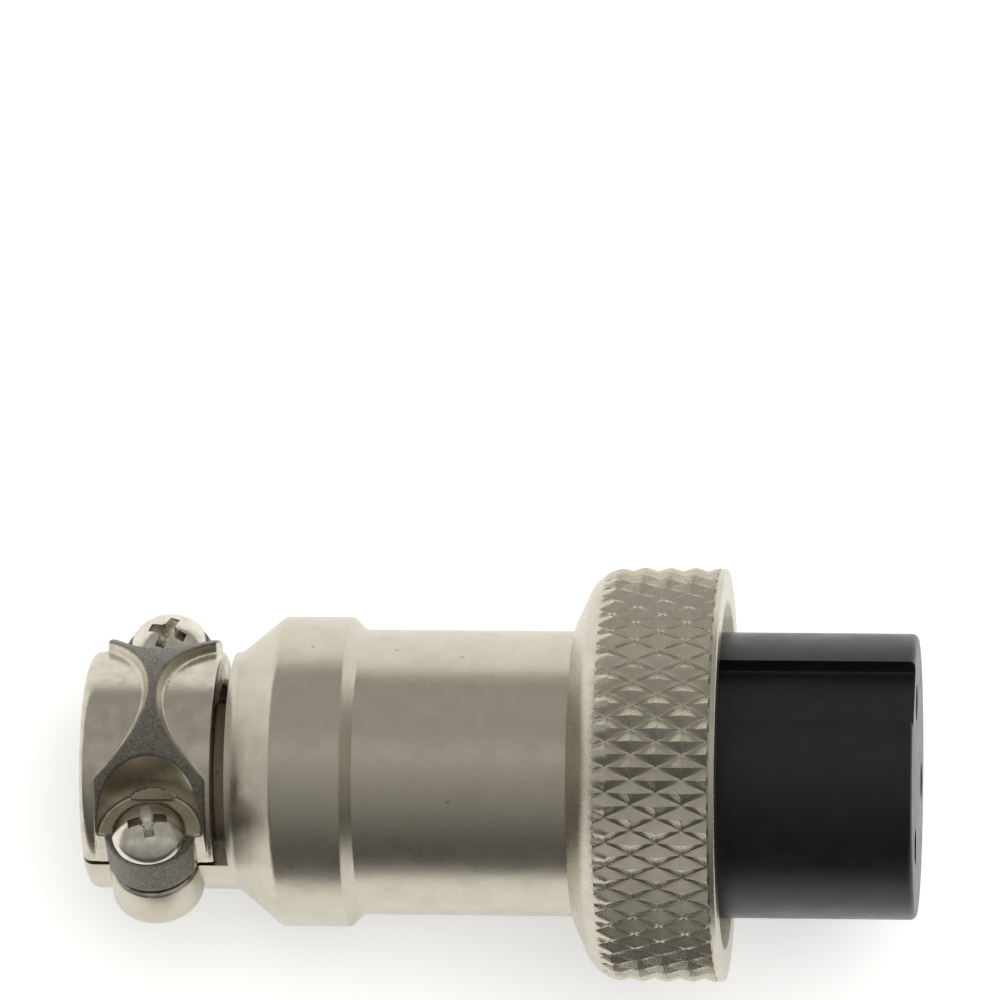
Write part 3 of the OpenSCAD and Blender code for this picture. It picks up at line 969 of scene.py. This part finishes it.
class PLUG_OT_insulator(bpy.types.Operator):
    """Mould the insert with its keyway and its openings for the pins"""

    bl_idname = "plug.insulator"
    bl_label = "Insulator"

    def execute(self, context):
        p = millimetres(context.scene.plug_insert)
        cad = extent("insulator")
        flange = extent("front_sleeve").end
        insert = turned(insert_outline(p, cad, flange))
        key = block((flange - 1, -p.key / 2, p.body / 2 - p.key_depth), (cad.end + 1, p.key / 2, p.body))
        cut(insert, soften(key, 0.12))
        for number in (1, 2, 3):
            mouth = on_plug(f"socket_{number}")
            face = cad.end - p.mouth_depth
            cut(insert, rod(p.hole / 2, cad.start - 1, face, mouth.y, mouth.z, steps=48))
            cut(insert, rod(p.mouth / 2, face - 0.2, cad.end + 1, mouth.y, mouth.z, steps=48))
        plastic = moulded_plastic("insert plastic", context.scene.plug_finishes.plastic)
        set_down(insert, "moulded_insert", plastic, ["insulator"], crease=30)
        return {"FINISHED"}


def insert_outline(p, cad, flange):
    return spaced(
        rounded(
            [
                (cad.start, 0, 0),
                (cad.start, p.spigot / 2, 0.15),
                (flange, p.spigot / 2, 0),
                (flange, p.body / 2, 0.1),
                (cad.end, p.body / 2, p.bevel),
                (cad.end, 0, 0),
            ],
            steps=6,
        ),
        2.0,
    )


class PLUG_OT_turned_parts(bpy.types.Operator):
    """Plate the sleeve, the locking screw and the contacts, which keep their CAD shapes"""

    bl_idname = "plug.turned_parts"
    bl_label = "Sleeve, locking screw and contacts"

    def execute(self, context):
        finishes = context.scene.plug_finishes
        nickel = turned_nickel("sleeve plating", finishes.nickel, lines=0.7, pits=0.0)
        plating = bright_plating("locking screw plating", finishes.steel)
        silver = bright_plating("contact plating", finishes.silver)
        wanted = {"front_sleeve": nickel, "lock_screw": plating}
        wanted.update({f"contact_{number}": silver for number in (1, 2, 3)})
        for node, material in wanted.items():
            obj = frame["nodes"][node]
            obj.data.materials.clear()
            obj.data.materials.append(material)
            shade(obj, 30)
        return {"FINISHED"}


# ---------------------------------------------------------------- the stage


class PLUG_OT_stage(bpy.types.Operator):
    """Lay the pale floor, light it softly and set up the camera above the plug"""

    bl_idname = "plug.stage"
    bl_label = "Stage"

    def execute(self, context):
        scene = context.scene
        scene.view_settings.view_transform = "Standard"
        pale_floor()
        studio_world(scene)
        soft_lamp()
        scene.camera = overhead_camera(scene)
        return {"FINISHED"}


# The share of the floor's white that is its own, beside what the lamps give
FLOOR_GLOW = 0.5


def pale_floor():
    """A wide floor that is white to the eye and in reflections, with the plug's shadow on it."""
    half = 2.0
    corners = [(-half, -half, 0), (half, -half, 0), (half, half, 0), (-half, half, 0)]
    mesh = bpy.data.meshes.new("floor")
    mesh.from_pydata(corners, [], [(0, 1, 2, 3)])
    floor = bpy.data.objects.new("floor", mesh)
    bpy.context.scene.collection.objects.link(floor)
    mix = Recipe("pale floor")
    mix.shader.inputs["Base Color"].default_value = (0.8, 0.8, 0.8, 1.0)
    mix.shader.inputs["Roughness"].default_value = 0.9
    mix.shader.inputs["Specular IOR Level"].default_value = 0.0
    rays = mix.add("ShaderNodeLightPath")
    seen = mix.math("MAXIMUM", rays.outputs["Is Camera Ray"], rays.outputs["Is Glossy Ray"])
    seen = mix.math("MAXIMUM", seen, rays.outputs["Is Transmission Ray"])
    mix.shader.inputs["Emission Color"].default_value = (1.0, 1.0, 1.0, 1.0)
    mix.feed(mix.shader, "Emission Strength", mix.math("MULTIPLY", seen, FLOOR_GLOW))
    mesh.materials.append(mix.material)


# The studio's brightness from floor to floor over the plug: degrees from overhead towards +Y
STUDIO = (
    (-120, 0.45),
    (-98, 0.4),
    (-86, 0.08),
    (-62, 0.1),
    (-40, 0.24),
    (-22, 0.34),
    (0, 0.46),
    (12, 0.56),
    (20, 0.68),
    (26, 0.56),
    (34, 0.4),
    (48, 0.52),
    (70, 0.5),
    (86, 0.34),
    (98, 0.2),
    (120, 0.16),
)


def studio_world(scene):
    """A soft studio that is brightest overhead, with darker sides, and white to the eye."""
    world = bpy.data.worlds.new("studio")
    world.use_nodes = True
    scene.world = world
    tree = world.node_tree
    tree.nodes.clear()
    coordinates = tree.nodes.new("ShaderNodeTexCoord")
    parts = tree.nodes.new("ShaderNodeSeparateXYZ")
    tree.links.new(coordinates.outputs["Generated"], parts.inputs[0])
    angle = tree.nodes.new("ShaderNodeMath")
    angle.operation = "ARCTAN2"
    tree.links.new(parts.outputs["Y"], angle.inputs[0])
    tree.links.new(parts.outputs["Z"], angle.inputs[1])
    share = tree.nodes.new("ShaderNodeMapRange")
    tree.links.new(angle.outputs[0], share.inputs[0])
    share.inputs[1].default_value = -math.pi
    share.inputs[2].default_value = math.pi
    ramp = tree.nodes.new("ShaderNodeValToRGB")
    ramp.color_ramp.interpolation = "B_SPLINE"
    tree.links.new(share.outputs[0], ramp.inputs[0])
    stops = ramp.color_ramp.elements
    while len(stops) > 1:
        stops.remove(stops[-1])
    for number, (degrees, level) in enumerate(STUDIO):
        spot = (degrees + 180) / 360
        stop = stops[0] if number == 0 else stops.new(spot)
        stop.position = spot
        stop.color = (level, level * 0.985, level * 0.95, 1.0)
    room = tree.nodes.new("ShaderNodeBackground")
    tree.links.new(ramp.outputs[0], room.inputs[0])
    room.inputs[1].default_value = 1.0
    white = tree.nodes.new("ShaderNodeBackground")
    white.inputs[0].default_value = (1.0, 1.0, 1.0, 1.0)
    rays = tree.nodes.new("ShaderNodeLightPath")
    pick = tree.nodes.new("ShaderNodeMixShader")
    tree.links.new(rays.outputs["Is Camera Ray"], pick.inputs[0])
    tree.links.new(room.outputs[0], pick.inputs[1])
    tree.links.new(white.outputs[0], pick.inputs[2])
    output = tree.nodes.new("ShaderNodeOutputWorld")
    tree.links.new(pick.outputs[0], output.inputs[0])


def soft_lamp():
    """One broad soft lamp from overhead."""
    data = bpy.data.lights.new("overhead softbox", "SUN")
    data.energy = 1.6
    data.angle = math.radians(50)
    data.color = (1.0, 0.985, 0.95)
    lamp = bpy.data.objects.new("overhead softbox", data)
    lamp.rotation_euler = Vector((-0.15, -0.35, -1.0)).to_track_quat("-Z", "Y").to_euler()
    lamp.visible_glossy = False
    bpy.context.scene.collection.objects.link(lamp)


# The camera looks down with a slight lean, from about 41 cm, with the plug low in its view
CAMERA_LEAN = math.radians(3.4)
CAMERA_ROLL = math.radians(0.38)
CAMERA_AWAY = 0.4138
CAMERA_LENS = 324.0
LOOK_AT = Vector((-0.00035, 0.01255, 0.0085))


def overhead_camera(scene):
    """The long-lens camera over the plug."""
    data = bpy.data.cameras.new("overhead camera")
    data.sensor_width = 36.0
    data.lens = CAMERA_LENS
    data.clip_start = 0.01
    data.clip_end = 20.0
    camera = bpy.data.objects.new("overhead camera", data)
    back = Vector((-math.sin(CAMERA_LEAN), 0.0, math.cos(CAMERA_LEAN)))
    right = Vector((math.cos(CAMERA_LEAN), 0.0, math.sin(CAMERA_LEAN)))
    aim = Matrix((right, back.cross(right), back)).transposed()
    aim = aim @ Matrix.Rotation(CAMERA_ROLL, 3, "Z")
    camera.matrix_world = Matrix.Translation(LOOK_AT + back * CAMERA_AWAY) @ aim.to_4x4()
    scene.collection.objects.link(camera)
    return camera


# ---------------------------------------------------------------- the add-on


class VIEW3D_PT_plug(bpy.types.Panel):
    """Lists the pieces of the plug in the order in which they are made"""

    bl_idname = "VIEW3D_PT_plug"
    bl_label = "Cable plug"
    bl_space_type = "VIEW_3D"
    bl_region_type = "UI"
    bl_category = "Plug"

    def draw(self, context):
        for operator in OPERATORS:
            self.layout.operator(operator.bl_idname)
        for name, _ in GROUPS:
            group = getattr(context.scene, name)
            box = self.layout.box()
            for key in group.__annotations__:
                box.prop(group, key)


GROUPS = (
    ("plug_shell", PlugShellSizes),
    ("plug_clamp", PlugClampSizes),
    ("plug_nut", PlugNutSizes),
    ("plug_insert", PlugInsertSizes),
    ("plug_finishes", PlugFinishes),
)
OPERATORS = (
    PLUG_OT_stage,
    PLUG_OT_back_shell,
    PLUG_OT_saddle,
    PLUG_OT_clamp_screws,
    PLUG_OT_coupling_nut,
    PLUG_OT_insulator,
    PLUG_OT_turned_parts,
)


def register():
    for name, group in GROUPS:
        bpy.utils.register_class(group)
        setattr(bpy.types.Scene, name, bpy.props.PointerProperty(type=group))
    for operator in OPERATORS:
        bpy.utils.register_class(operator)
    bpy.utils.register_class(VIEW3D_PT_plug)


def unregister():
    bpy.utils.unregister_class(VIEW3D_PT_plug)
    for operator in reversed(OPERATORS):
        bpy.utils.unregister_class(operator)
    for name, group in reversed(GROUPS):
        delattr(bpy.types.Scene, name)
        bpy.utils.unregister_class(group)


def main():
    register()
    bpy.ops.plug.stage()
    bpy.ops.plug.back_shell()
    bpy.ops.plug.saddle()
    bpy.ops.plug.clamp_screws()
    bpy.ops.plug.coupling_nut()
    bpy.ops.plug.insulator()
    bpy.ops.plug.turned_parts()


if __name__ == "__main__":
    main()
